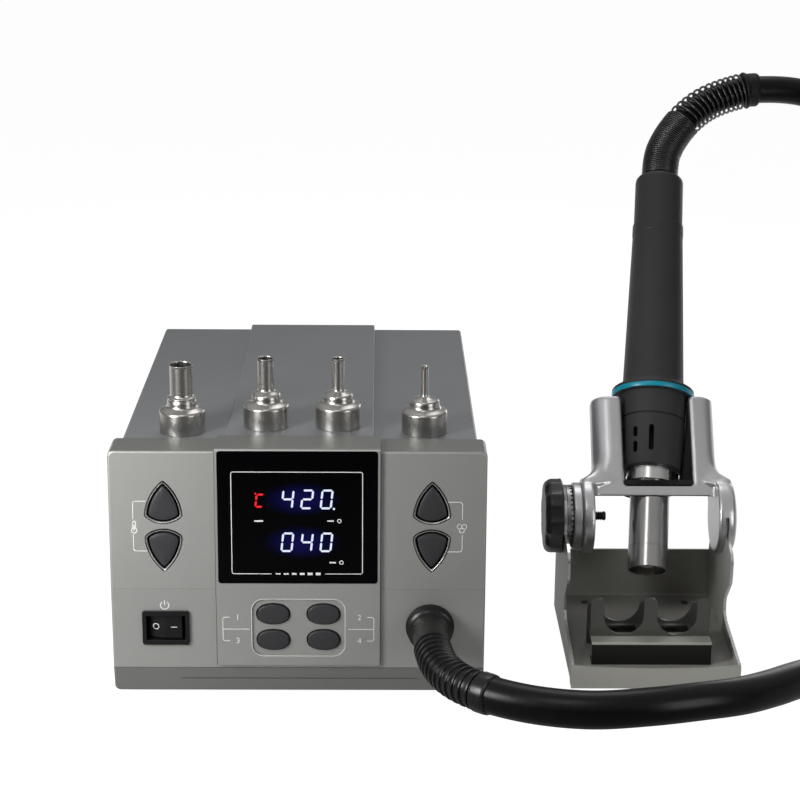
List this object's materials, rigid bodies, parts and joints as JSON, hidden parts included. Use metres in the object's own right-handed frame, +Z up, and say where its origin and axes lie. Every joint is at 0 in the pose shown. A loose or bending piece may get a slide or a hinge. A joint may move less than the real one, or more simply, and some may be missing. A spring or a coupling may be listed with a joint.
{
  "type": "hot air rework station",
  "caption": "Hot air rework station: console with display and buttons, air hose, heat gun handle in a tilting yoke stand, and spare nozzles.",
  "frame": {"origin": "on the table under the middle of the box round the console, stand and handle, without the hose", "axes": "+Z up, -Y towards the front of the console, +X to the right seen from the front, where the stand is"},
  "size_m": [0.5076, 0.368, 0.2884],
  "materials": {
    "bezel_paint": "satin metallic silver grey",
    "cover_paint": "satin metallic bluish grey",
    "stand_paint": "satin grey",
    "dark_paint": "satin dark grey",
    "window": "black glossy panel",
    "button": "dark grey",
    "black_plastic": "black",
    "hose_black": "glossy black",
    "foot_rubber": "black",
    "board": "green laminate",
    "stainless": "stainless",
    "screw_steel": "plated",
    "spring_steel": "blackened",
    "cast_aluminium": "satin cast",
    "fin_aluminium": "mill",
    "coil": "varnished copper and iron",
    "grip_plastic": "matte dark grey",
    "teal": "teal",
    "ceramic": "white ceramic",
    "ballast": "raw steel"
  },
  "bodies": {
    "station": {"front_bezel": "bezel_paint", "centre_fascia": "bezel_paint", "display_window": "window", "display_module": "black_plastic", "front_board": "board", "switch_housing": "black_plastic", "top_cover": "cover_paint", "base_tray": "dark_paint", "rear_panel": "dark_paint", "mains_inlet": "black_plastic", "console_feet": "foot_rubber", "cover_screws": "screw_steel", "blower_housing": "black_plastic", "blower_motor": "screw_steel", "air_duct": "black_plastic", "main_board": "board", "heat_sink": "fin_aluminium", "transformer": "coil", "hose_gland": "black_plastic", "hose_boot": "foot_rubber", "stand_bracket": "stand_paint", "ballast_plate": "ballast", "stand_feet": "foot_rubber", "nozzle_rack": "stand_paint", "rack_screws": "screw_steel", "pivot_pin": "screw_steel", "serrated_washer": "spring_steel", "bend_spring": "spring_steel", "open_spring": "spring_steel", "spring_collar": "foot_rubber", "upper_hose": "hose_black", "lower_hose": "hose_black"},
    "yoke": {"yoke": "cast_aluminium", "seat_pad": "foot_rubber", "lock_disc": "cast_aluminium"},
    "knob": {"clamp_knob": "black_plastic", "clamp_screw": "screw_steel"},
    "handle": {"grip": "grip_plastic", "grip_cap": "grip_plastic", "teal_ring": "teal", "nose_sleeve": "grip_plastic", "metal_collar": "stainless", "heater_tube": "stainless", "heater_core": "ceramic"},
    "impeller": {"blower_impeller": "black_plastic"},
    "rocker": {"power_rocker": "black_plastic"},
    "nozzle_1": {"nozzle_1": "stainless"},
    "nozzle_2": {"nozzle_2": "stainless"},
    "nozzle_3": {"nozzle_3": "stainless"},
    "nozzle_4": {"nozzle_4": "stainless"},
    "temp_up_button": {"temp_up_button": "button"},
    "temp_down_button": {"temp_down_button": "button"},
    "air_up_button": {"air_up_button": "button"},
    "air_down_button": {"air_down_button": "button"},
    "channel_1_key": {"channel_1_key": "button"},
    "channel_2_key": {"channel_2_key": "button"},
    "channel_3_key": {"channel_3_key": "button"},
    "channel_4_key": {"channel_4_key": "button"}
  },
  "joints": [
    {"name": "yoke_tilt", "type": "hinge", "parent": "station", "child": "yoke", "pos_m": [0.1156, -0.0315, 0.067], "axis": [1, 0, 0], "range_deg": [-22, 25], "deforming": ["upper_hose", "bend_spring", "open_spring", "spring_collar", "lower_hose"]},
    {"name": "knob_turn", "type": "hinge", "parent": "station", "child": "knob", "pos_m": [0.0606, -0.0315, 0.067], "axis": [-1, 0, 0], "range_deg": [-20, 360]},
    {"name": "handle_lift", "type": "slide", "parent": "yoke", "child": "handle", "axis": [0.0732, 0.6002, 0.7965], "range_m": [0, 0.078], "deforming": ["upper_hose", "bend_spring", "open_spring", "spring_collar", "lower_hose"]},
    {"name": "impeller_spin", "type": "hinge", "parent": "station", "child": "impeller", "pos_m": [-0.0314, 0.0265, 0.062], "axis": [0, 1, 0], "continuous": true},
    {"name": "rocker_tip", "type": "hinge", "parent": "station", "child": "rocker", "pos_m": [-0.13615, -0.1185, 0.0406], "axis": [0, 0, 1], "range_deg": [0, 16]},
    {"name": "nozzle_1_lift", "type": "slide", "parent": "station", "child": "nozzle_1", "axis": [0, 0, 1], "range_m": [0, 0.06]},
    {"name": "nozzle_2_lift", "type": "slide", "parent": "station", "child": "nozzle_2", "axis": [0, 0, 1], "range_m": [0, 0.06]},
    {"name": "nozzle_3_lift", "type": "slide", "parent": "station", "child": "nozzle_3", "axis": [0, 0, 1], "range_m": [0, 0.06]},
    {"name": "nozzle_4_lift", "type": "slide", "parent": "station", "child": "nozzle_4", "axis": [0, 0, 1], "range_m": [0, 0.06]},
    {"name": "temp_up_press", "type": "slide", "parent": "station", "child": "temp_up_button", "axis": [0, 0.9987, -0.0517], "range_m": [0, 0.0012], "stiffness_N_per_m": 400, "springref_m": -0.002},
    {"name": "temp_down_press", "type": "slide", "parent": "station", "child": "temp_down_button", "axis": [0, 0.9987, -0.0517], "range_m": [0, 0.0012], "stiffness_N_per_m": 400, "springref_m": -0.002},
    {"name": "air_up_press", "type": "slide", "parent": "station", "child": "air_up_button", "axis": [0, 0.9987, -0.0517], "range_m": [0, 0.0012], "stiffness_N_per_m": 400, "springref_m": -0.002},
    {"name": "air_down_press", "type": "slide", "parent": "station", "child": "air_down_button", "axis": [0, 0.9987, -0.0517], "range_m": [0, 0.0012], "stiffness_N_per_m": 400, "springref_m": -0.002},
    {"name": "channel_1_press", "type": "slide", "parent": "station", "child": "channel_1_key", "axis": [0, 1, 0], "range_m": [0, 0.001], "stiffness_N_per_m": 400, "springref_m": -0.002},
    {"name": "channel_2_press", "type": "slide", "parent": "station", "child": "channel_2_key", "axis": [0, 1, 0], "range_m": [0, 0.001], "stiffness_N_per_m": 400, "springref_m": -0.002},
    {"name": "channel_3_press", "type": "slide", "parent": "station", "child": "channel_3_key", "axis": [0, 1, 0], "range_m": [0, 0.001], "stiffness_N_per_m": 400, "springref_m": -0.002},
    {"name": "channel_4_press", "type": "slide", "parent": "station", "child": "channel_4_key", "axis": [0, 1, 0], "range_m": [0, 0.001], "stiffness_N_per_m": 400, "springref_m": -0.002}
  ]
}
